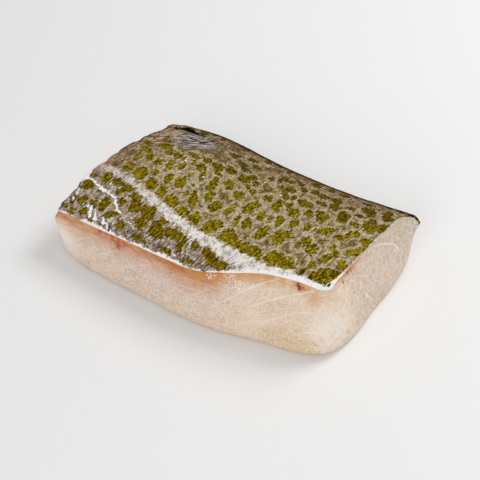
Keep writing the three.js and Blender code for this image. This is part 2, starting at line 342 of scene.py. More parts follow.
CRACKS = (  # pale lines where scales are lost, each point with the line's half width there
    ((-61, 60.4, 0.7), (-56, 60.8, 0.35), (-53, 62.4, 0.25), (-50.2, 63.4, 0.4), (-48.3, 64.4, 0.75),
     (-46.4, 64.2, 0.2), (-43.2, 64.8, 0.5), (-41.6, 66.0, 0.35), (-39.9, 68.4, 0.55), (-38.4, 68.8, 0.2),
     (-36.6, 70.9, 0.65), (-34.2, 71.4, 0.1), (-31.8, 73.0, 0.2), (-28.0, 74.1, 0.1), (-25.0, 75.5, 0.25)),
    ((-58.0, 67.2, 0.25), (-56.9, 69.2, 0.35)),
    ((-57.4, 71.2, 0.3), (-56.6, 73.0, 0.35)),
    ((-49.6, 72.4, 0.15), (-48.3, 74.6, 0.35)),
    ((-47.2, 74.0, 0.3), (-46.0, 76.4, 0.7), (-44.8, 78.4, 0.4)),
    ((-44.8, 75.0, 0.2), (-42.4, 78.4, 0.5)),
    ((-39.6, 76.4, 0.25), (-37.6, 78.4, 0.6), (-36.4, 78.2, 0.3), (-34.2, 80.4, 0.4)),
    ((-46.8, 61.2, 0.15), (-46.2, 64.0, 0.25)),
    ((-2.4, 66.6, 0.15), (-1.3, 70.8, 0.2), (0.4, 73.4, 0.15)),
)
STREAKS = (  # lines of painted sheen along ridges in the wrinkled patch
    ((-44.0, 18.8, 0.3), (-38.5, 17.4, 0.5), (-34.0, 15.0, 0.3)),
    ((-37.0, 24.8, 0.2), (-33.0, 22.4, 0.45), (-29.0, 20.4, 0.4), (-27.0, 18.8, 0.2)),
    ((-45.0, 21.6, 0.2), (-41.0, 20.6, 0.3), (-36.0, 19.6, 0.2)),
)
DARK_MARKS = (
    (-33.6, 80.6, 0.6, 1.2), (42.7, 62.4, 0.6, 1.6), (46.7, 63.0, 0.5, 0.9), (54.4, 63.0, 0.4, 1.0),
    (-39.2, 18.7, 1.0, 0.6), (-38.4, 79.3, 0.6, 0.5), (-8.0, 22.3, 3.0, 0.35),
)
STAINS = (  # soft brown patches
    (-53.7, 48.6, 2.0, 2.0), (-52.7, 39.6, 2.2, 2.2), (-49.5, 33.5, 1.8, 2.6), (-44.5, 30.4, 2.4, 1.4),
    (-9.6, 20.6, 2.2, 1.3), (-5.5, 18.4, 1.8, 1.1), (-56.6, 57.0, 1.8, 2.0), (22.6, 18.4, 1.6, 1.2),
)
# Painted highlights: near-white dots in the skin's colour, as x, b and the half lengths
GLINTS = (
    (-30.7, 33.5, 0.4, 0.4), (-28.2, 33.0, 0.35, 0.3), (-18.8, 37.2, 0.25, 0.5), (12.6, 27.8, 0.35, 0.4),
    (2.8, 24.3, 0.4, 0.3), (15.2, 62.8, 0.3, 0.7),
)
FRONT_RIM = (  # x and the width of the white rim along the front edge
    (-62, 0.1), (-49, 0.2), (-45, 0.9), (-36, 0.9), (-30, 0.5), (0, 0.7), (6, 0.2), (16, 0.3), (24, 1.3),
    (60, 1.3),
)
# b and the width of the white rim at the thin end
THIN_RIM = ((50, -0.8), (55, -0.2), (57, 0.8), (61, 0.9), (65, 0.1), (84, 0.0))
THICK_RIM = {"corner": 1.2, "rest": -0.05, "fold": -0.8, "fades": (2, 16), "torn": 0.1}
FOLD_EDGE = (12, 16)  # behind this range of b the skin's cut edge is dark
WHITE_CUT = (  # x and the share of the front cut's height that is white, above the flesh's colour
    (-62, 0.25), (-50, 0.3), (-45, 0.8), (-36, 0.9), (-30, 0.6), (0, 0.55), (6, 0.3), (17, 0.4), (24, 1.2),
    (62, 1.2),
)
END_WHITE_CUT = {"share": 0.2, "from": (1, 6)}
FOLD_WHITE_CUT = 0.8

# Noises that move the marks' edges, each with its amount, size and seed
SPOT_WAVER = {"x": ((0.5, 2.2, 21), (0.3, 1.0, 23)), "b": ((0.5, 2.2, 22), (0.3, 1.0, 24))}
TEARS = {"x": ((0.6, 2.4, 31), (0.2, 0.8, 35)), "b": ((0.6, 2.4, 32), (0.2, 0.8, 36))}
RIM_TEARS = ((0.5, 1.5, 33), (0.35, 0.8, 38))
WIDE_RIM_TEARS = ((0.7, 4, 34),)
WIDE_RIM_FROM = (20, 35)
THIN_RIM_TEARS = ((0.5, 1.8, 37),)


def stripe_fields(x, b):
    """How far inside the pale stripe a place is, negative outside it, and how far in front of the stripe."""
    places, back, front = np.array(STRIPE_EDGES).T
    back = np.interp(x, places, back)
    front = np.interp(x, places, front)
    return np.minimum(b - back, front - b), b - front


def random_spots(rng, settings):
    """Spots of random sizes, strewn over a range of b."""
    count = settings["count"]
    x = rng.uniform(*STREWN_X, count)
    b = rng.uniform(*settings["b"], count)
    half = rng.uniform(*settings["half"], count)
    return np.stack([x, b, half, half * SPOT_TALL], 1)


def all_spots():
    rng = np.random.default_rng(RANDOM_SEED)
    strewn = [*random_spots(rng, FOLD_SPOTS), *random_spots(rng, SMALL_SPOTS)]
    back = [(x, b, long * BACK_STRETCH, *rest) for x, b, long, *rest in BACK_SPOTS]
    return [*STRIPE_SPOTS, *SIDE_SPOTS, *back, *FRONT_SPOTS, *strewn]


def spot_field(x, b, spots):
    """How far inside the nearest spot's edge a place is, negative outside all of them."""
    field = np.full(x.shape, FAR_FROM_SPOTS)
    for x_at, b_at, long, wide, *own_lean in spots:
        lean = own_lean[0] if own_lean else SPOT_LEAN
        off_b = b - b_at
        off_x = x - x_at - lean * off_b
        field = np.maximum(field, (1 - np.hypot(off_x / long, off_b / wide)) * min(long, wide))
    return field


def line_field(x, b, lines):
    """The distance to the edge of the nearest line, negative on the lines."""
    field = np.full(x.shape, FAR_FROM_LINES)
    for line in lines:
        for (x0, b0, half0), (x1, b1, half1) in zip(line, line[1:]):
            dx, db = x1 - x0, b1 - b0
            t = np.clip(((x - x0) * dx + (b - b0) * db) / (dx * dx + db * db), 0, 1)
            field = np.minimum(field, np.hypot(x - x0 - t * dx, b - b0 - t * db) - lerp(half0, half1, t))
    return field


def rim_field(x, b, front, to_thin, to_thick):
    """How far inside the white rim's border a place is, negative on the rim."""
    width = np.interp(x, *np.array(FRONT_RIM).T)
    torn = noises(x, front, RIM_TEARS) + noises(x, 0.0, WIDE_RIM_TEARS) * smoothstep(x, *WIDE_RIM_FROM)
    thick_width = lerp(THICK_RIM["corner"], THICK_RIM["rest"], smoothstep(front, *THICK_RIM["fades"]))
    thick_width = lerp(THICK_RIM["fold"], thick_width, smoothstep(b, *FOLD_EDGE))
    thin_width = np.interp(b, *np.array(THIN_RIM).T)
    inside_thick = to_thick - thick_width + THICK_RIM["torn"] * torn
    inside_thin = to_thin - thin_width + noises(b, to_thin, THIN_RIM_TEARS)
    return np.minimum(front - width + torn, np.minimum(inside_thick, inside_thin))


def white_cut(x, b, front):
    """The share of the cut edge's height that has the colour of the skin's rim."""
    along_front = np.interp(x, *np.array(WHITE_CUT).T)
    share = lerp(along_front, END_WHITE_CUT["share"], smoothstep(front, *END_WHITE_CUT["from"]))
    return lerp(FOLD_WHITE_CUT, share, smoothstep(b, *FOLD_EDGE))


def mark_fields(x, b):
    """Fields of all the marks, most of them at places that waver a little."""
    waved = x + noises(x, b, SPOT_WAVER["x"]), b + noises(x, b, SPOT_WAVER["b"])
    torn = x + noises(x, b, TEARS["x"]), b + noises(x, b, TEARS["b"])
    stripe, ahead = stripe_fields(x, b)
    return {
        "stripe": stripe,
        "ahead": ahead,
        "spot": spot_field(*waved, all_spots()),
        "crack": line_field(*torn, CRACKS),
        "streak": line_field(*waved, STREAKS),
        "dark": spot_field(*torn, DARK_MARKS),
        "stain": spot_field(*waved, STAINS),
        "glint": spot_field(x, b, GLINTS),
        "wrinkles": wrinkle_patch(x, b),
        "crease": crease_line(x, b),
    }


# The skin's relief, and its mesh

SWELLS = ((0.16, 15, 41), (0.08, 5, 42), (0.07, 1.6, 46))  # amount, size and seed, as in the noises below
WRINKLES = {"pitch": 2.9, "height": 0.25, "way": (0.55, 0.83), "waver": ((1.2, 6, 43),)}
WRINKLE_PATCHES = ((-38, 19, 11, 7), (-47.5, 25, 6, 6))  # x, b and the reach along both
CREASE = {"place": (-44, 13.9, 8.0, 1.0), "depth": 0.6, "waver": ((0.8, 4, 44), (0.5, 1.3, 45))}
FOLD_RIDGE = {"place": (-45, 11.5, 6.0, 2.0), "height": 0.9}
BEVEL = {"depth": 0.5, "reach": 2.2}
RELIEF_ROOM = {"fold": 0.06, "rest": 0.3, "from_b": (8, 20)}  # how far inside the solid the relief sits
RELIEF_TOP = -0.03
FRONT_WAVES = {"layers": ((0.35, 3.0, 51), (0.2, 1.1, 52)), "least": -0.1, "reach": 3}
THIN_BUMPS = {"layers": ((0.8, 6.0, 53), (0.4, 2.2, 54)), "least": -0.3, "reach": 4}
SKIN_ALONG, SKIN_ACROSS, SKIN_LOOPS = 310, 225, 12
RIM_STEPS = (0.3, 0.6, 0.85, 1.0)  # shares of the cut edge's height


def patch(x, b, place):
    x_at, b_at, reach_x, reach_b = place
    return bell(x, x_at, reach_x) * bell(b, b_at, reach_b)


def wrinkle_patch(x, b):
    return np.max([patch(x, b, place) for place in WRINKLE_PATCHES], axis=0)


def crease_line(x, b):
    return patch(x, b + noises(x, b, CREASE["waver"]), CREASE["place"])


def skin_relief(x, b, front):
    """Height of the skin's surface over the solid's outer face, below it all over but on the fold's ridge."""
    way_x, way_b = WRINKLES["way"]
    way = way_x * x + way_b * b + noises(x, b, WRINKLES["waver"])
    wrinkles = WRINKLES["height"] * wrinkle_patch(x, b) * np.sin(2 * np.pi * way / WRINKLES["pitch"])
    bevel = BEVEL["depth"] * (1 - smoothstep(front, 0, BEVEL["reach"]))
    room = lerp(RELIEF_ROOM["fold"], RELIEF_ROOM["rest"], smoothstep(b, *RELIEF_ROOM["from_b"]))
    height = noises(x, b, SWELLS) + wrinkles - CREASE["depth"] * crease_line(x, b) - bevel
    return np.minimum(height - room, RELIEF_TOP) + FOLD_RIDGE["height"] * patch(x, b, FOLD_RIDGE["place"])


def edge_shift(waves, along, from_edge):
    """How far an uneven edge moves inwards at places along it, fading out away from it."""
    shift = np.maximum(noises(along, 0.0, waves["layers"]), waves["least"])
    return shift * (1 - smoothstep(from_edge, 0, waves["reach"]))


def skin_surface(u, w):
    """The finished outer face, and how far its points are from the front, the fold's end and the thin end."""
    plain = skin_point(u, w)
    x = plain[..., 0]
    front, from_thin = lengths(plain, 1), lengths(plain, 0)
    back = front[:, -1:] - front
    outer = plain + skin_normal(u, w) * skin_relief(x, back, front)[..., None]
    outer[..., 1] += edge_shift(FRONT_WAVES, x, front)
    outer[..., 0] += edge_shift(THIN_BUMPS, back, from_thin)
    return outer, front, back, from_thin


def grid_rim(columns, rows):
    """Numbers of the points round a grid, in the order of rim_pairs."""
    i, j = np.arange(columns), np.arange(rows)
    return np.concatenate([
        i * (rows + 1),
        columns * (rows + 1) + j,
        (columns - i) * (rows + 1) + rows,
        rows - j,
    ])


def make_skin(material):
    u, w = np.meshgrid(np.linspace(0, 1, SKIN_ALONG + 1), np.linspace(0, 1, SKIN_ACROSS + 1), indexing="ij")
    outer, front, back, from_thin = skin_surface(u, w)
    top = outer.reshape(-1, 3)
    rim = grid_rim(SKIN_ALONG, SKIN_ACROSS)
    rim_u, rim_w = rim_pairs(SKIN_ALONG, SKIN_ACROSS)
    loops = [lerp(top[rim], under_skin(rim_u, rim_w), share) for share in RIM_STEPS]
    loops += inner_loops(rim_u, rim_w, SKIN_LOOPS)
    points = np.concatenate([top, *loops, under_skin(MIDDLE, MIDDLE)])

    faces = quads(SKIN_ALONG + 1, SKIN_ACROSS + 1).tolist()
    ring = rim
    for k in range(len(loops)):
        lower = len(top) + k * len(rim) + np.arange(len(rim))
        faces += np.stack([ring, lower, np.roll(lower, -1), np.roll(ring, -1)], 1).tolist()
        ring = lower
    last = len(points) - 1
    faces += [(a, last, b) for a, b in zip(ring.tolist(), np.roll(ring, -1).tolist())]

    def on_all(values, middle_value=0.0):
        flat = values.ravel()
        return np.concatenate([flat, np.tile(flat[rim], len(loops)), [middle_value]])

    x, b = points[:, 0], on_all(back)
    outer_x = outer[..., 0]
    to_thick = from_thin[-1:] - from_thin
    below_rim = np.repeat([*RIM_STEPS, *[1.0] * (SKIN_LOOPS - 1)], len(rim))
    down = np.concatenate([np.zeros(len(top)), below_rim, [1.0]])
    fields = {
        "flat": np.stack([x, b, np.zeros(len(x))], 1),
        "rim": on_all(rim_field(outer_x, back, front, from_thin, to_thick)),
        "cut": down - on_all(white_cut(outer_x, back, front), 1.0),
        "thin": on_all(from_thin),
        "front": on_all(front),
        "turned": on_all(skin_normal(u, w)[..., 1]),
        **mark_fields(x, b),
    }
    mesh_piece("fillet_skin", points, faces, fields, material, "skin")


# The flesh: pale sheets part its flakes, leaning along the front and ringing a core at the thick end

SEPTA = {"lean": 1.7, "spacing": 14.3, "from_x": 38, "edge": (0.11, 0.715)}
SEPTA_GROOVE = {"depth": 0.1, "reach": 0.7}
SEPTA_WANDER = ((0.09, 12, 61), (0.02, 3, 65))  # amount, size and seed, as in the noises below
SEPTA_SHOW = {"thin_half": 0.55, "full_x": (8, 24), "gaps": (-0.7, 0.3), "top": (0.5, 2), "foot": (5, 11)}
SEPTA_GAPS = {"stretch": 1.5, "size": 11, "seed": 62}
END_RINGS = {"y": 6.5, "z": 14, "half_y": 13.7, "half_z": 10.6, "slope": 0.35, "power": 2.5, "wide": 0.9}
CORE_EDGE = (0.8, 1.0)
END_RINGS_SHOW = {"share": 0.7, "gaps": (-0.6, 0.4), "size": 5, "seed": 68, "wander": 0.7}
ENDWARD = (0.45, 0.9)  # how far along the fish the flesh faces where its front turns into its thick end
OFF_CORNER = (0.5, 1)
LARGE_LUMPS = ((0.14, 8, 63),)
SMALL_LUMPS = {"size": 2.6, "seed": 64, "thin_end": 0.3, "rest": 0.07, "thin_x": (-60, -54)}
BULGES = (((-60, -33, 12), 7, 2.0), ((58, -34, 5), 9, 1.0), ((62.2, 0, 5), 5.5, -1.4))  # place, reach, height
LUMPS_FADE = {"top": (0.2, 2.5), "foot": (0.3, 4)}
FLESH_ROOM = 0.12  # how far the lumps sit inside the solid's sides on average
FLESH_ALONG, FLESH_ACROSS, FLESH_DOWN, FLESH_LOOPS = 330, 215, 62, 8
UNDERSIDE_DEPTH = 40.0  # stands for the depth under the skin all over the base

# The dark, fatty band just under the skin
BAND = {"strength": 0.9, "end_strength": 0.7, "end_x": 54, "fades_y": (-10, 10), "edge": (-0.1, 1.45)}
BAND_STEPS = ((15, 21, 0.4, 2.6), (33, 39, 0.35, 0.0))  # a range of x, and how much weaker and thinner
BAND_THICKNESS = 6.0
BAND_WAVES = ((1.5, 9, 66), (0.7, 3, 67))
BAND_BULGE = {"x": 14, "reach": 8, "height": 1.2}

BLOOD = (  # x, y, z and radius, as in the next lists
    (-37.5, -34.2, 17.4, 1.8), (-34.5, -34.4, 17.2, 1.6), (-31.3, -34.7, 17.4, 2.0),
    (-28.4, -34.9, 17.4, 2.4), (-25.6, -35.1, 17.4, 2.0), (-27.9, -35.9, 15.4, 1.6),
    (55.8, -13.3, 26.0, 2.4), (55.8, -11.0, 26.1, 2.0), (44.4, -27.3, 24.6, 1.8), (45.6, -27.5, 24.2, 1.8),
)
AMBER = (
    (4.0, -36.4, 19.6, 2.4), (9.0, -36.2, 19.2, 3.4), (14.0, -35.2, 20.0, 3.6), (19.0, -33.4, 21.8, 3.6),
    (23.5, -32.2, 22.8, 4.0), (28.5, -30.8, 24.2, 4.2), (33.5, -29.4, 24.8, 4.0), (38.5, -28.4, 25.0, 3.2),
    (44.0, -27.2, 24.6, 3.6), (47.4, -27.0, 24.4, 3.6), (51.4, -29.4, 23.2, 4.0), (55.9, -17.0, 25.4, 2.0),
    (55.9, -9.0, 25.9, 2.6), (56.0, -5.6, 25.8, 2.0),
)
SPECKS = (
    (-3.1, -37.9, 15.5, 0.5), (16, -35.9, 18, 0.4), (44.3, -26.9, 25.2, 0.5), (44.6, -27.4, 24.4, 0.7),
    (44.9, -27.7, 23.7, 0.75), (45.1, -28.0, 23.1, 0.7), (56.5, -16.6, 23.9, 0.7), (59, -12.7, 17.3, 0.6),
    (55.8, -13.3, 25.9, 0.8), (55.8, -12.3, 26.0, 0.6),
)
# A painted highlight on the rounded front corner at the thick end: the flesh's palest colour is painted round
# this place
PAINTED_CORNER_HIGHLIGHT = ((60, -27.5, 11, 10.5),)
# Tan along the front foot near the thick end, painted darker as shade where the face curves under
TAN_AND_FOOT_SHADE = (
    (39, -37.2, 5, 5), (44, -36.4, 5.5, 6), (49, -35.4, 5.5, 6), (54, -33.9, 4.5, 5),
)
# Places of painted highlights: near-white dots in the flesh's colour where it is wet
PAINTED_FLESH_GLINTS = (
    (13, -34.8, 20.0, 2.2), (19.5, -33.6, 21.6, 2.4), (24.4, -34, 19.4, 2.6), (29.4, -32.4, 21.0, 2.2),
)


def nearest(points, marks):
    """The distance to the nearest mark, in radii of that mark."""
    return np.min([np.linalg.norm(points - mark[:3], axis=1) / mark[3] for mark in marks], axis=0)


def end_ring(points):
    """Rings the thick end's core: below 1 inside it, and 1 on its pale sheet."""
    off_y = points[..., 1] - END_RINGS["y"]
    off_z = points[..., 2] - END_RINGS["z"] + END_RINGS["slope"] * off_y
    across = np.abs(off_y / END_RINGS["half_y"]) ** END_RINGS["power"]
    up = np.abs(off_z / END_RINGS["half_z"]) ** END_RINGS["power"]
    return (across + up) ** (1 / END_RINGS["power"])


def septum_turn(sides, depth, endward):
    """Counts the pale sheets: each whole number is one of them."""
    x, y = sides[..., 0], sides[..., 1]
    along = (x + SEPTA["lean"] * depth - SEPTA["from_x"]) / SEPTA["spacing"]
    rings = 1 + END_RINGS["wide"] * np.clip(end_ring(sides) - 1, -1, 1)
    wander = noises(x + y, depth, SEPTA_WANDER) * lerp(1.0, END_RINGS_SHOW["wander"], endward)
    return lerp(along, rings, endward) + wander


def septa_share(sides, depth, endward):
    """How clearly the pale sheets show: with gaps, and not at the corner, under the skin or at the foot."""
    x, y, z = np.moveaxis(sides, -1, 0)
    gaps = noise(x + y, depth * SEPTA_GAPS["stretch"], SEPTA_GAPS["size"], SEPTA_GAPS["seed"])
    front = lerp(SEPTA_SHOW["thin_half"], 1.0, smoothstep(x, *SEPTA_SHOW["full_x"]))
    front = front * smoothstep(gaps, *SEPTA_SHOW["gaps"])
    ring_gaps = noise(x + y, depth, END_RINGS_SHOW["size"], END_RINGS_SHOW["seed"])
    rings = END_RINGS_SHOW["share"] * endward * smoothstep(ring_gaps, *END_RINGS_SHOW["gaps"])
    fade = smoothstep(depth, *SEPTA_SHOW["top"]) * smoothstep(z, *SEPTA_SHOW["foot"])
    return np.maximum(front, rings) * fade * smoothstep(np.abs(2 * endward - 1), *OFF_CORNER)


def flesh_lumps(sides, depth):
    """Height of the lumps on the flesh's sides."""
    x, y = sides[..., 0], sides[..., 1]
    small = lerp(SMALL_LUMPS["thin_end"], SMALL_LUMPS["rest"], smoothstep(x, *SMALL_LUMPS["thin_x"]))
    lumps = noises(x + y, depth, LARGE_LUMPS)
    lumps = lumps + small * noise(x + y, depth, SMALL_LUMPS["size"], SMALL_LUMPS["seed"])
    for place, reach, height in BULGES:
        lumps = lumps + height * bell(np.linalg.norm(sides - place, axis=2), 0, reach)
    return lumps


def flesh_surface(sides, depth, turn, shows):
    """The flesh's sides with their lumps, and with grooves along the pale sheets."""
    around = np.roll(sides, -1, 1) - np.roll(sides, 1, 1)
    normal = unit(np.cross(np.gradient(sides, axis=0), around))
    off_line = np.abs((turn + 0.5) % 1 - 0.5) * SEPTA["spacing"]
    groove = SEPTA_GROOVE["depth"] * bell(off_line, 0, SEPTA_GROOVE["reach"]) * shows
    fade = smoothstep(depth, *LUMPS_FADE["top"]) * smoothstep(sides[..., 2], *LUMPS_FADE["foot"])
    moved = sides + normal * ((flesh_lumps(sides, depth) - groove - FLESH_ROOM) * fade)[..., None]
    moved[..., 2] = np.maximum(moved[..., 2], 0)
    return moved


def under_skin_band(points, depth):
    """How strong the dark band under the skin is."""
    x, y = points[:, 0], points[:, 1]
    front, thickness = BAND["strength"], BAND_THICKNESS
    for low, high, weaker, thinner in BAND_STEPS:
        front = front - weaker * smoothstep(x, low, high)
        thickness = thickness - thinner * smoothstep(x, low, high)
    thickness = thickness + noises(x + y, 0.0, BAND_WAVES)
    thickness = thickness + BAND_BULGE["height"] * bell(x, BAND_BULGE["x"], BAND_BULGE["reach"])
    forward = 1 - smoothstep(y, *BAND["fades_y"])
    end = BAND["end_strength"] * forward
    strength = np.where(x > BAND["end_x"], np.minimum(front, end), front) * forward
    return strength * (1 - smoothstep(depth / thickness, *BAND["edge"]))


def make_flesh(material):
    u, w = rim_pairs(FLESH_ALONG, FLESH_ACROSS)
    count = len(u)
    sides = side_loops(u, w, FLESH_DOWN)
    depth = lengths(sides, 0)
    facing = outward_directions(sides[0, :, :2])[:, 0]
    endward = smoothstep(np.broadcast_to(facing, depth.shape), *ENDWARD)
    turn = septum_turn(sides, depth, endward)
    shows = septa_share(sides, depth, endward)
    moved = flesh_surface(sides, depth, turn, shows)

    base_middle = moved[-1].mean(0)
    base = [lerp(base_middle, moved[-1], 1 - k / FLESH_LOOPS) for k in range(1, FLESH_LOOPS)]
    top = inner_loops(u, w, FLESH_LOOPS)
    loops = [*reversed(top), *moved, *base]
    points = np.concatenate([under_skin(MIDDLE, MIDDLE), *loops, base_middle[None]])
    number = 1 + np.arange(len(loops) * count).reshape(len(loops), count)
    after = np.roll(number, -1, 1)
    faces = np.stack([number[:-1], number[1:], after[1:], after[:-1]], -1).reshape(-1, 4).tolist()
    last = len(points) - 1
    faces += [(0, a, b) for a, b in zip(number[0].tolist(), after[0].tolist())]
    faces += [(last, b, a) for a, b in zip(number[-1].tolist(), after[-1].tolist())]

    above, under = 1 + len(top) * count, len(base) * count + 1

    def on_all(values, top_value=0.0, base_value=0.0):
        return np.concatenate([np.full(above, top_value), values.ravel(), np.full(under, base_value)])

    fields = {
        "place": points,
        "turn": on_all(turn, 0.5, 0.5),
        "shows": on_all(shows),
        "core": on_all(endward) * (1 - smoothstep(end_ring(points), *CORE_EDGE)),
        "band": under_skin_band(points, on_all(depth, 0.0, UNDERSIDE_DEPTH)),
        "blood": nearest(points, BLOOD),
        "amber": nearest(points, AMBER),
        "speck": nearest(points, SPECKS),
        "painted_glint_zone": nearest(points, PAINTED_FLESH_GLINTS),
        "corner": nearest(points, PAINTED_CORNER_HIGHLIGHT),
        "tan": nearest(points, TAN_AND_FOOT_SHADE),
    }
    mesh_piece("fillet_flesh", points, faces, fields, material, "flesh")


# Materials

def paint(colour):
    """A node's output as it is, or a colour given as 0 to 255 in the picture's own scale made linear."""
    if isinstance(colour, bpy.types.NodeSocket):
        return colour
    values = np.array(colour) / 255
    linear = np.where(values <= 0.04045, values / 12.92, ((values + 0.055) / 1.055) ** 2.4)
    return (*linear.tolist(), 1.0)


class Shader:
    """A material's node tree. Most methods add nodes and return the output that they end in."""

    def __init__(self, name):
        self.material = bpy.data.materials.new(name)
        self.material.use_nodes = True
        self.tree = self.material.node_tree
        self.surface = self.tree.nodes["Principled BSDF"]

    def feed(self, node, inputs):
        for key, value in inputs.items():
            if isinstance(value, bpy.types.NodeSocket):
                self.tree.links.new(value, node.inputs[key])
            else:
                node.inputs[key].default_value = value

    def add(self, kind, inputs, output=0, **settings):
        node = self.tree.nodes.new("ShaderNode" + kind)
        for key, value in settings.items():
            setattr(node, key, value)
        self.feed(node, inputs)
        return node.outputs[output]

    def fields(self, names):
        """Fields of the mesh's points, each under its own name."""
        found = {name: self.add("Attribute", {}, "Fac", attribute_name=name) for name in names}
        return SimpleNamespace(**found)

    def vector_field(self, name):
        return self.add("Attribute", {}, "Vector", attribute_name=name)

    def math(self, operation, a, b=0.0):
        return self.add("Math", {0: a, 1: b}, operation=operation)

    def times(self, first, *others):
        for other in others:
            first = self.math("MULTIPLY", first, other)
        return first

    def total(self, *terms):
        """The sum of terms that are each a factor and a value."""
        found = None
        for factor, value in terms:
            term = value if factor == 1 else self.math("MULTIPLY", value, factor)
            found = term if found is None else self.math("ADD", found, term)
        return found

    def shifted(self, vector, away):
        return self.add("VectorMath", {0: vector, 1: (away, away, 0)}, operation="ADD")

    def stretched(self, vector, sizes, turn=0.0):
        """The vector measured in the given sizes along axes that are turned about z."""
        inputs = {"Vector": vector, "Scale": sizes, "Rotation": (0, 0, turn)}
        return self.add("Mapping", inputs, vector_type="TEXTURE")

    def noise(self, vector, scale, detail=2.0, roughness=0.5):
        inputs = {"Vector": vector, "Scale": scale, "Detail": detail, "Roughness": roughness}
        return self.add("TexNoise", inputs, "Fac")

    def cell_edges(self, vector, scale):
        """The distance from the edges of random cells."""
        inputs = {"Vector": vector, "Scale": scale, "Randomness": 1.0}
        return self.add("TexVoronoi", inputs, "Distance", feature="DISTANCE_TO_EDGE")

    def step(self, value, low, high, start=0.0, end=1.0):
        inputs = {"Value": value, "From Min": low, "From Max": high, "To Min": start, "To Max": end}
        return self.add("MapRange", inputs, "Result", interpolation_type="SMOOTHSTEP")

    def ramp(self, value, low, high):
        return self.add("MapRange", {"Value": value, "From Min": low, "From Max": high}, "Result")

    def halves(self, value, low, high):
        """The lower and the upper half of a range, each spread from 0 to 1."""
        share = self.ramp(value, low, high)
        return self.ramp(share, 0, 0.5), self.ramp(share, 0.5, 1)

    def mix(self, share, a, b):
        return self.add("Mix", {0: share, 6: paint(a), 7: paint(b)}, 2, data_type="RGBA")

    def bump(self, height, strength, distance):
        inputs = {"Height": height, "Strength": strength, "Distance": distance}
        return self.add("Bump", inputs, "Normal")

    def sum_of(self, at, terms):
        """The sum of patterns that are each given by a factor and a name."""
        return self.total(*((factor, getattr(at, name)) for factor, name in terms))

    def share(self, at, factor):
        """A number, a pattern by its name, or a share that changes over a range of a named pattern."""
        if isinstance(factor, str):
            return getattr(at, factor)
        if isinstance(factor, tuple):
            name, *change = factor
            return self.step(getattr(at, name), *change)
        return factor

    def layers(self, at, colours, ground, rows):
        """A colour that is painted over by rows, each a colour's name and the factors of its share."""
        colour = colours[ground]
        for name, *factors in rows:
            share = self.times(*(self.share(at, factor) for factor in factors))
            colour = self.mix(share, colour, colours[name])
        return colour

    def finish(self, **inputs):
        self.feed(self.surface, {key.replace("_", " "): value for key, value in inputs.items()})
        return self.material


# The skin's looks

SKIN_LIE = math.radians(95)  # the way the scales and strokes lie
BACK_LIE = math.radians(4)  # the way fine lines run along the fish's back
WRINKLE_LIE = math.radians(-33)
SCALES = {"sizes": (1.6, 1.15, 1), "randomness": 0.85}
SKIN_FIELDS = (
    "stripe", "ahead", "spot", "crack", "streak", "dark", "stain", "glint",
    "rim", "cut", "thin", "front", "wrinkles", "crease", "turned",
)
SKIN_STROKES = {  # how far a pattern is shifted, its sizes and lie, and its noise's detail and roughness
    "strokes": (0, (1.7, 0.9, 1), SKIN_LIE, 3, 0.6),
    "mottle": (20, (1.1, 0.9, 1), SKIN_LIE, 3, 0.6),
    "grain": (0, (0.55, 0.45, 1), SKIN_LIE, 2, 0.5),
    "brushed": (60, (2.6, 0.75, 1), SKIN_LIE, 3, 0.6),
    "patches": (0, (4.2, 3.0, 1), SKIN_LIE, 2, 0.6),
    "hairs": (0, (2.6, 0.6, 1), SKIN_LIE, 2, 0.5),
    "lines": (90, (7.0, 0.7, 1), BACK_LIE, 3, 0.6),
    "flecks": (120, (1.7, 0.8, 1), BACK_LIE, 2, 0.6),
    "folds": (0, (3.6, 0.62, 1), WRINKLE_LIE, 3, 0.6),
}
SKIN_SPREADS = {  # the range of a pattern that is spread from 0 to 1
    "strokes": (0.32, 0.68), "mottle": (0.32, 0.68), "grain": (0.3, 0.7),
    "brushed": (0.34, 0.66), "lines": (0.34, 0.66),
}
SKIN_CLOUDS = {  # how far a pattern is shifted, and its noise's scale, detail and roughness
    "blotches": (0, 0.2, 2, 0.5), "flush": (40, 0.4, 3, 0.7), "tint": (80, 0.6, 3, 0.7),
    "lilac": (140, 0.42, 1, 0.5), "front_lilac": (160, 0.3, 2, 0.5),
}
SKIN_SUMS = {  # patterns that are sums of others, each with its factor
    "coolness": ((1, "tint"), (0.2, "near_spot")),
    "shade": ((0.6, "brushed"), (1.8, "patches")),
    "stained": ((1, "stain"), (3.0, "ragged")),
    "streaked": ((1, "streak"), (1.2, "ragged"), (-5, "folds")),
    "rough_turn": ((1, "turned"), (0.3, "ragged"), (0.12, "patches")),
    "flakes": ((1, "hairs"), (0.2, "chance")),
    "inky": ((1, "brushed"), (0.3, "grain"), (-0.5, "beside_spot")),
    "stripe_edge": ((1, "stripe"), (3.0, "ragged"), (1.0, "brushed"), (3.0, "patches")),
    "stripe_wear": ((1, "patches"), (0.4, "ragged")),
    "off_crack": ((1, "crack"), (1.4, "ragged"), (0.6, "brushed")),
    "glinting": ((1, "glint"), (0.6, "ragged")),
    "in_crease_shade": ((1, "crease"), (0.9, "ragged")),
    "from_tip": ((1, "thin"), (5.0, "ragged")),
    "from_end": ((1, "thin"), (1.6, "ragged")),
    "off_rim": ((1, "rim"), (1.2, "ragged"), (1, "jagged")),
    "marked": ((1, "dark"), (0.7, "ragged")),
    "below_rim": ((1, "cut"), (0.5, "ragged")),
    "bumps": ((-0.6, "scales"), (1, "strokes")),
}
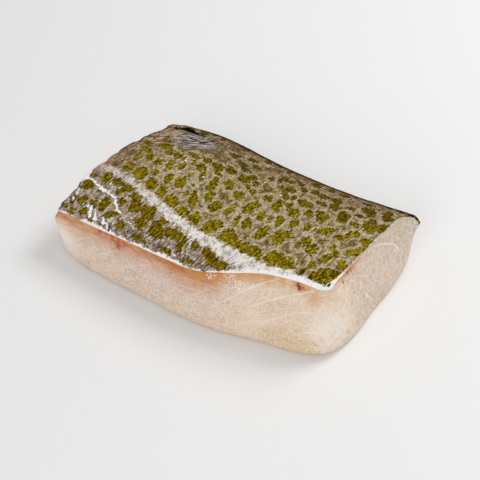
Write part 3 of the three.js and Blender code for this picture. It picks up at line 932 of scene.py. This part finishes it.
SKIN_CONTRASTS = {  # the range of a sum over which a tone goes from its darkest to its palest colour
    "plain": (0.34, 0.89, (1, "tone"), (0.25, "near_spot")),
    "lined": (0.34, 0.74, (0.6, "tone"), (0.4, "lines"), (0.1, "near_spot")),
    "strong": (0.14, 0.92, (1, "front_tone"), (0.08, "near_spot")),
    "loose": (0.32, 0.72, (1, "front_tone")),
    "folded": (0.4, 0.58, (1, "folds")),
    "spotted": (0.33, 0.67, (1, "tone")),
    "dim": (0.3, 0.9, (1, "tone")),
    "front spotted": (0.18, 0.82, (1, "front_tone")),
    "worn": (0.5, 1.15, (1, "tone"), (0.8, "patches")),
}
SKIN_TONES = {  # a contrast, and the darkest, the middle and the palest colour
    "warm": ("plain", (76, 57, 0), (144, 125, 66), (198, 181, 136)),
    "cool": ("plain", (80, 61, 4), (148, 130, 94), (206, 192, 170)),
    "rosy": ("plain", (80, 53, 2), (157, 122, 80), (208, 180, 150)),
    "leafy": ("plain", (70, 58, 0), (138, 129, 76), (196, 187, 148)),
    "back": ("lined", (38, 20, 0), (118, 95, 68), (192, 174, 152)),
    "thin": ("loose", (50, 28, 0), (156, 129, 95), (216, 194, 172)),
    "front": ("strong", (48, 30, 4), (158, 132, 104), (220, 205, 190)),
    # Across the folds of the wrinkled patch these run from near black to pale: partly the skin's own colour,
    # partly painted shade in the folds and painted sheen on them
    "cool wrinkles": ("folded", (24, 16, 6), (106, 93, 78), (190, 178, 172)),
    "warm wrinkles": ("folded", (60, 40, 4), (152, 127, 86), (218, 198, 170)),
    "lilac": ("plain", (116, 99, 72), (176, 161, 140), (212, 202, 192)),
    "front lilac": ("strong", (84, 62, 50), (168, 147, 136), (222, 210, 206)),
    "olive": ("spotted", (68, 49, 0), (121, 101, 4), (170, 152, 40)),
    "front olive": ("front spotted", (44, 26, 0), (116, 96, 4), (170, 150, 30)),
    "back olive": ("dim", (56, 40, 4), (94, 76, 14), (130, 110, 36)),
    # painted shade where the skin turns back over the fold, also the back's darker skin
    "ridge": ("spotted", (16, 12, 7), (40, 32, 21), (76, 62, 44)),
    "stripe": ("worn", (196, 182, 162), (232, 224, 214), (250, 247, 243)),
}
SKIN_MARKS = {
    "green fleck": (120, 96, 32), "red fleck": (158, 118, 90), "under rim": (84, 62, 50),
    "stain": (84, 66, 36), "pale ridge": (192, 187, 188), "ink": (46, 30, 4), "crack shade": (44, 34, 18),
    "glint": (246, 244, 240), "crease": (14, 12, 9), "flush": (188, 128, 92), "dark edge": (44, 32, 20),
    "dark mark": (34, 25, 12), "front cut": (204, 152, 108), "back cut": (212, 190, 168),
    "white": (252, 250, 247),
}
SKIN_BLENDS = {  # a colour and the rows that are painted over it, as in the layers
    "wrinkles": ("warm wrinkles", ("cool wrinkles", ("x", -48, -41))),
    "spots": ("olive", ("back olive", ("b", 16, 40, 0.85, 0)), ("front olive", "in_front", 0.7)),
    "cut": ("front cut", ("back cut", ("front", 4, 22))),
}
SKIN_LAYERS = (  # a colour and the factors of its share, in the order of painting
    ("cool", ("coolness", 0.42, 0.78)),
    ("rosy", ("flush", 0.48, 0.62, 0, 0.8)),
    ("leafy", ("flush", 0.38, 0.52, 0.8, 0)),
    ("back", "to_back", 0.85),
    ("lilac", ("lilac", 0.5, 0.62, 0, 0.6), ("near_spot", 0.3, 0.8), ("b", 26, 46)),
    ("thin", ("x", -52, -36, 0.85, 0)),
    ("green fleck", "flecked", ("flecks", 0.52, 0.62, 0, 0.65)),
    ("red fleck", "flecked", ("flecks", 0.38, 0.47, 0.6, 0)),
    ("front", "in_front", 0.8),
    ("front lilac", "in_front", ("front_lilac", 0.42, 0.6, 0, 0.6)),
    ("under rim", ("front", 4, 10, 1, 0), ("x", -42, -28), ("shade", 0.8, 1.6, 0.75, 0), "in_front"),
    ("stain", ("stained", -0.6, 1.4, 0, 0.6)),
    # the wrinkled patch: its own colours with painted shade and sheen across the folds
    ("wrinkles", ("wrinkles", 0.1, 0.7, 0, 0.92)),
    # painted sheen along the ridges of the wrinkled patch
    ("pale ridge", ("streaked", -2.8, -1.6, 0.6, 0)),
    ("spots", ("spot_edge", -0.5, 0.45)),
    # painted shade where the skin turns back over the fold, also the back's darker skin
    ("ridge", ("rough_turn", 0.38, 0.58, 0, 0.95), ("rough_turn", 0.72, 1.0, 1, 0.3)),
    ("white", "in_front", "off_spots", ("flakes", 0.72, 0.78, 0, 0.8)),
    ("ink", ("inky", -0.1, 0.2, 0.7, 0), "inked"),
    ("stripe", ("stripe_edge", 1.4, 3, 0, 0.97), ("stripe_wear", 0.3, 0.58, 0.5, 1), ("x", -46, -6, 0.66, 1)),
    ("crack shade", ("off_crack", 0.3, 1.1, 0.45, 0)),
    ("white", ("off_crack", 0.25, 0.42, 1, 0)),
    ("glint", ("glinting", -0.15, 0.1)),
    # painted shade: near black along the crease near the back
    ("crease", ("in_crease_shade", 0.25, 0.6)),
    ("flush", ("b", 42, 48), ("b", 52, 57, 1, 0), ("from_tip", 0.5, 4.5, 0.55, 0)),
    ("dark edge", "dark_end", ("from_end", 0.3, 1.2, 0.85, 0)),
    ("white", ("off_rim", -0.1, 0.15, 1, 0)),
    ("dark mark", ("marked", -0.3, 0.15), ("front", 0.2, 0.9, 0, 0.9)),
    ("cut", ("below_rim", -0.08, 0.1)),
)


def skin_noises(s):
    """The skin's fields, and the noises and scales that vary its colours."""
    at = s.fields(SKIN_FIELDS)
    flat = s.vector_field("flat")
    at.x, at.b = (s.add("SeparateXYZ", {"Vector": flat}, axis) for axis in "XY")
    for name, (away, sizes, lie, *settings) in SKIN_STROKES.items():
        setattr(at, name, s.noise(s.stretched(s.shifted(flat, away), sizes, lie), 1.0, *settings))
    for name, spread in SKIN_SPREADS.items():
        setattr(at, name, s.ramp(getattr(at, name), *spread))
    for name, (away, *settings) in SKIN_CLOUDS.items():
        setattr(at, name, s.noise(s.shifted(flat, away), *settings))
    place = s.stretched(flat, SCALES["sizes"], SKIN_LIE)
    cells = {"Vector": place, "Scale": 1.0, "Randomness": SCALES["randomness"]}
    at.scales = s.add("TexVoronoi", cells, "Distance")
    at.chance = s.add("SeparateColor", {"Color": s.add("TexVoronoi", cells, "Color")}, "Red")
    return at


def skin_patterns(s):
    """All the patterns that the skin's colours depend on."""
    at = skin_noises(s)
    at.tone = s.total((0.2, at.chance), (0.25, at.strokes), (0.28, at.mottle), (0.27, at.grain))
    at.front_tone = s.total((0.34, at.brushed), (0.42, at.mottle), (0.24, at.grain))
    at.ragged = s.math("SUBTRACT", at.tone, 0.5)
    at.rough = s.math("SUBTRACT", at.brushed, 0.5)
    at.near_spot = s.step(s.total((1, at.spot), (2, at.patches)), -1.6, 0.4)
    at.beside_spot = s.step(s.total((1, at.spot), (1.6, at.patches)), -0.9, 0.4)
    at.to_back = s.step(s.total((1, at.b), (10, at.blotches)), 16, 34, 1, 0)
    at.in_front = s.step(at.ahead, -0.5, 1.0)
    at.flecked = s.math("MAXIMUM", at.to_back, s.step(at.x, -54, -40, 1, 0))
    at.inked = s.math("MAXIMUM", at.in_front, s.times(s.step(at.x, 42, 47), s.step(at.b, 53, 57)))
    at.dark_end = s.math("MAXIMUM", s.step(at.b, 34, 42, 1, 0.15), s.step(at.b, 54, 58, 0.15, 1))
    at.jagged = s.times(s.step(at.x, 14, 26, 0.8, 2.4), at.rough, s.step(at.front, 3, 8, 1, 0.15))
    torn = s.total((1, at.spot), (-0.2, at.chance), (-0.7, at.strokes), (-0.6, at.mottle), (-0.3, at.grain))
    teeth = s.times(at.in_front, at.rough)
    at.spot_edge = s.total((1, s.math("ADD", torn, 1.25)), (-0.9, teeth))
    at.off_spots = s.step(at.spot_edge, -0.5, 0.3, 1, 0)
    for name, terms in SKIN_SUMS.items():
        setattr(at, name, s.sum_of(at, terms))
    return at


def skin_colours(s, at):
    """The skin's colours by name: single ones, tones, and blends of these."""
    colours = dict(SKIN_MARKS)
    contrasts = {}
    for name, (low, high, *terms) in SKIN_CONTRASTS.items():
        contrasts[name] = s.halves(s.sum_of(at, terms), low, high)
    for name, (contrast, darkest, middle, palest) in SKIN_TONES.items():
        lower, upper = contrasts[contrast]
        colours[name] = s.mix(upper, s.mix(lower, darkest, middle), palest)
    for name, (ground, *rows) in SKIN_BLENDS.items():
        colours[name] = s.layers(at, colours, ground, rows)
    return colours


def skin_material():
    s = Shader("cod_skin")
    at = skin_patterns(s)
    return s.finish(
        Base_Color=s.layers(at, skin_colours(s, at), "warm", SKIN_LAYERS),
        Roughness=0.5,
        Normal=s.bump(at.bumps, 0.4, 0.3 * MM),
        Specular_IOR_Level=0.0,
        Coat_Weight=s.times(s.step(at.b, 12, 24, 0.0, 0.25), at.off_spots),
        Coat_Roughness=0.22,
    )


# The flesh's looks

FLESH_FIELDS = ("turn", "shows", "core", "band", "blood", "amber", "speck", "painted_glint_zone", "corner", "tan")
FLESH_CLOUDS = {  # a noise's scale, detail and roughness
    "cloud": (0.08, 3, 0.5), "grain": (0.8, 3, 0.7), "fine": (3.2, 1, 0.6), "dots": (2.2, 1, 0.5),
}
FLESH_FIBRES = {"fibre": (6.0, 1.5, 0.8), "drift": (9.0, 9.0, 3.0)}  # sizes of stretched noises
FLESH_CELLS = {"net": 1.1, "curls": 0.3}
CURL_SWAY = {"scale": 0.35, "by": (5, 5, 5)}
FLESH_SUMS = {  # patterns that are sums of others, each with its factor
    "near_tan": ((1, "tan"), (0.6, "drift")),
    "near_amber": ((1, "amber"), (1.0, "fibre"), (0.5, "grain")),
    "near_blood": ((1, "blood"), (1.6, "fibre"), (1.0, "grain")),
    "near_speck": ((1, "speck"), (0.6, "grain")),
    "bumps": ((1, "grain"), (1, "fibre")),
}
FLESH_TONES = {
    "rosy ground": (210, 180, 158), "pale ground": (226, 202, 176), "pale drift": (240, 220, 196),
    "rosy drift": (206, 172, 156), "thick half": (238, 208, 168), "middle": (202, 174, 160),
    "thick end": (190, 159, 132), "core": (220, 194, 176), "tip": (252, 242, 228), "back": (180, 160, 134),
    "foot": (212, 180, 136), "tan": (206, 174, 120), "pale grain": (244, 232, 218),
    "dark grain": (192, 162, 146), "pale dots": (248, 234, 222), "dark dots": (196, 166, 150),
    "threads": (250, 240, 228), "fibre": (240, 226, 212), "curls": (250, 238, 226),
    "hollows": (196, 168, 144), "dark band": (184, 98, 12), "pale band": (216, 142, 56),
    "deep band": (182, 100, 30), "amber": (212, 148, 70), "septum": (246, 238, 228),
    "blood": (172, 66, 14), "speck": (122, 46, 0), "drops": (252, 252, 252),
}
FLESH_BLENDS = {  # a colour and the rows that are painted over it, as in the layers
    "ground": ("rosy ground", ("pale ground", ("cloud", 0.3, 0.7))),
    "band": ("dark band", ("pale band", ("fibre", 0.35, 0.65))),
}
FLESH_LAYERS = (  # a colour and the factors of its share, in the order of painting
    ("pale drift", ("drift", 0.45, 0.7, 0, 0.5)),
    ("rosy drift", ("drift", 0.3, 0.5, 0.4, 0)),
    ("thick half", ("x", -10, 45, 0, 0.5)),
    ("middle", ("x", -50, -20, 0.3, 1), ("x", 2, 36, 0.55, 0)),
    ("thick end", ("y", -20, -4, 0, 0.65)),
    ("core", "core", 0.5),
    ("tip", ("x", -55, -41, 0.95, 0), ("y", -32, 16, 1, 0.15)),
    # painted highlight on the rounded front corner, in the thin tip's pale colour
    ("tip", ("corner", 0.2, 1.3, 0.85, 0)),
    ("back", ("y", -5, 30), ("z", 10, 24, 0, 0.85)),
    ("foot", ("z", 0, 8, 0.5, 0)),
    # tan tint, partly painted shade where the front face curves under
    ("tan", ("near_tan", 0.6, 1.5, 0.8, 0)),
    ("pale grain", ("grain", 0.4, 0.7, 0, 0.24)),
    ("dark grain", ("grain", 0.3, 0.48, 0.12, 0)),
    ("pale dots", ("fine", 0.5, 0.68, 0, 0.6)),
    ("dark dots", ("fine", 0.32, 0.5, 0.4, 0)),
    ("threads", ("net", 0.03, 0.16, 0.4, 0), ("grain", 0.35, 0.6, 0.2, 1)),
    ("fibre", ("fibre", 0.5, 0.75, 0, 0.4)),
    ("curls", ("curls", 0.03, 0.16, 0.45, 0), ("x", 50, 59, 0.1, 1), ("grain", 0.4, 0.6, 0.1, 1)),
    # painted shade: darker between the pale curls, as in hollows
    ("hollows", ("curls", 0.2, 0.5, 0, 0.4), ("x", 50, 59, 0.1, 1)),
    ("band", "band", ("fibre", 0.3, 0.65, 1.0, 0.8)),
    ("deep band", ("band", 0.58, 0.86, 0, 0.5), ("x", -30, 0, 0.2, 1)),
    ("amber", ("near_amber", 0.6, 2.1, 0.8, 0)),
    ("septum", ("off_septum", *SEPTA["edge"], 0.8, 0), ("band", 0.15, 0.6, 1, 0.25), "shows"),
    ("blood", ("near_blood", 1.4, 2.4, 0.75, 0)),
    ("speck", ("near_speck", 0.7, 1.4, 0.95, 0)),
    # painted highlights: near-white dots where the flesh is wet
    ("drops", ("dots", 0.57, 0.61), ("painted_glint_zone", 0.6, 1.1, 1, 0)),
)


def flesh_patterns(s):
    """All the patterns that the flesh's colours depend on."""
    at = s.fields(FLESH_FIELDS)
    place = s.vector_field("place")
    at.x, at.y, at.z = (s.add("SeparateXYZ", {"Vector": place}, axis) for axis in "XYZ")
    for name, settings in FLESH_CLOUDS.items():
        setattr(at, name, s.noise(place, *settings))
    for name, sizes in FLESH_FIBRES.items():
        setattr(at, name, s.noise(s.stretched(place, sizes), 1.0, 3, 0.6))
    sway = s.add("TexNoise", {"Vector": place, "Scale": CURL_SWAY["scale"], "Detail": 1.0}, "Color")
    swayed = s.add("VectorMath", {0: sway, 1: CURL_SWAY["by"], 2: place}, operation="MULTIPLY_ADD")
    at.net = s.cell_edges(place, FLESH_CELLS["net"])
    at.curls = s.cell_edges(swayed, FLESH_CELLS["curls"])
    off_whole = s.math("SUBTRACT", s.math("FRACT", s.math("ADD", at.turn, 0.5)), 0.5)
    at.off_septum = s.times(s.math("ABSOLUTE", off_whole), SEPTA["spacing"])
    for name, terms in FLESH_SUMS.items():
        setattr(at, name, s.sum_of(at, terms))
    return at


def flesh_material():
    s = Shader("cod_flesh")
    at = flesh_patterns(s)
    colours = dict(FLESH_TONES)
    for name, (ground, *rows) in FLESH_BLENDS.items():
        colours[name] = s.layers(at, colours, ground, rows)
    return s.finish(
        Base_Color=s.layers(at, colours, "ground", FLESH_LAYERS),
        Roughness=s.step(at.grain, 0.3, 0.7, 0.34, 0.5),
        Normal=s.bump(at.bumps, 0.3, 0.3 * MM),
        Specular_IOR_Level=0.3,
        Subsurface_Weight=0.2,
        Subsurface_Radius=(1.0, 0.45, 0.25),
        Subsurface_Scale=1.2 * MM,
    )


# Floor, lights and camera

FLOOR_HALF = 3000
FLOOR_TONES = ((245, 245, 245), (247, 247, 247))
LIGHTS = {  # place, size and power
    "key": ((220, 560, 650), 400, 3.45),
    "fill": ((250, -900, 500), 600, 3.6),
}
LIT_PLACE = (0, 0, 12)
WORLD_STRENGTH = 0.46
CAMERA = {"azimuth": 33, "elevation": 40, "view_angle": 20, "frame_width": 181.3, "aim": (4.8, -3.5, 10.3)}
SENSOR_WIDTH = 36
CLIP = (10, 20000)


def floor_material():
    s = Shader("floor")
    soft = s.noise(s.add("TexCoord", {}, "Object"), 3.0, 2)
    return s.finish(Base_Color=s.mix(soft, *FLOOR_TONES), Roughness=0.6)


def make_floor():
    half = FLOOR_HALF * MM
    corners = [(-half, -half, 0), (half, -half, 0), (half, half, 0), (-half, half, 0)]
    mesh = bpy.data.meshes.new("floor")
    mesh.from_pydata(corners, [], [(0, 1, 2, 3)])
    mesh.materials.append(floor_material())
    floor = bpy.data.objects.new("floor", mesh)
    bpy.context.scene.collection.objects.link(floor)


def area_light(name, place, size, power):
    light = bpy.data.lights.new(name, "AREA")
    light.size = size * MM
    light.energy = power
    lamp = bpy.data.objects.new(name, light)
    lamp.location = Vector(place) * MM
    lamp.rotation_euler = (Vector(LIT_PLACE) - Vector(place)).to_track_quat("-Z", "Y").to_euler()
    bpy.context.scene.collection.objects.link(lamp)


def make_lights():
    world = bpy.data.worlds.new("studio")
    world.use_nodes = True
    background = world.node_tree.nodes["Background"]
    background.inputs["Color"].default_value = (1.0, 1.0, 1.0, 1.0)
    background.inputs["Strength"].default_value = WORLD_STRENGTH
    bpy.context.scene.world = world
    for name, settings in LIGHTS.items():
        area_light(name, *settings)


def make_camera():
    azimuth, elevation = math.radians(CAMERA["azimuth"]), math.radians(CAMERA["elevation"])
    half_angle = math.radians(CAMERA["view_angle"]) / 2
    back = Vector((
        math.sin(azimuth) * math.cos(elevation),
        -math.cos(azimuth) * math.cos(elevation),
        math.sin(elevation),
    ))
    distance = CAMERA["frame_width"] / 2 / math.tan(half_angle)
    data = bpy.data.cameras.new("camera")
    data.sensor_width = SENSOR_WIDTH
    data.lens = SENSOR_WIDTH / 2 / math.tan(half_angle)
    data.clip_start, data.clip_end = (reach * MM for reach in CLIP)
    camera = bpy.data.objects.new("camera", data)
    camera.location = (Vector(CAMERA["aim"]) + back * distance) * MM
    camera.rotation_mode = "QUATERNION"
    camera.rotation_quaternion = (-back).to_track_quat("-Z", "Y")
    bpy.context.scene.collection.objects.link(camera)
    bpy.context.scene.camera = camera


make_camera()
make_flesh(flesh_material())
make_skin(skin_material())
make_floor()
make_lights()
bpy.context.scene.view_settings.view_transform = "Standard"
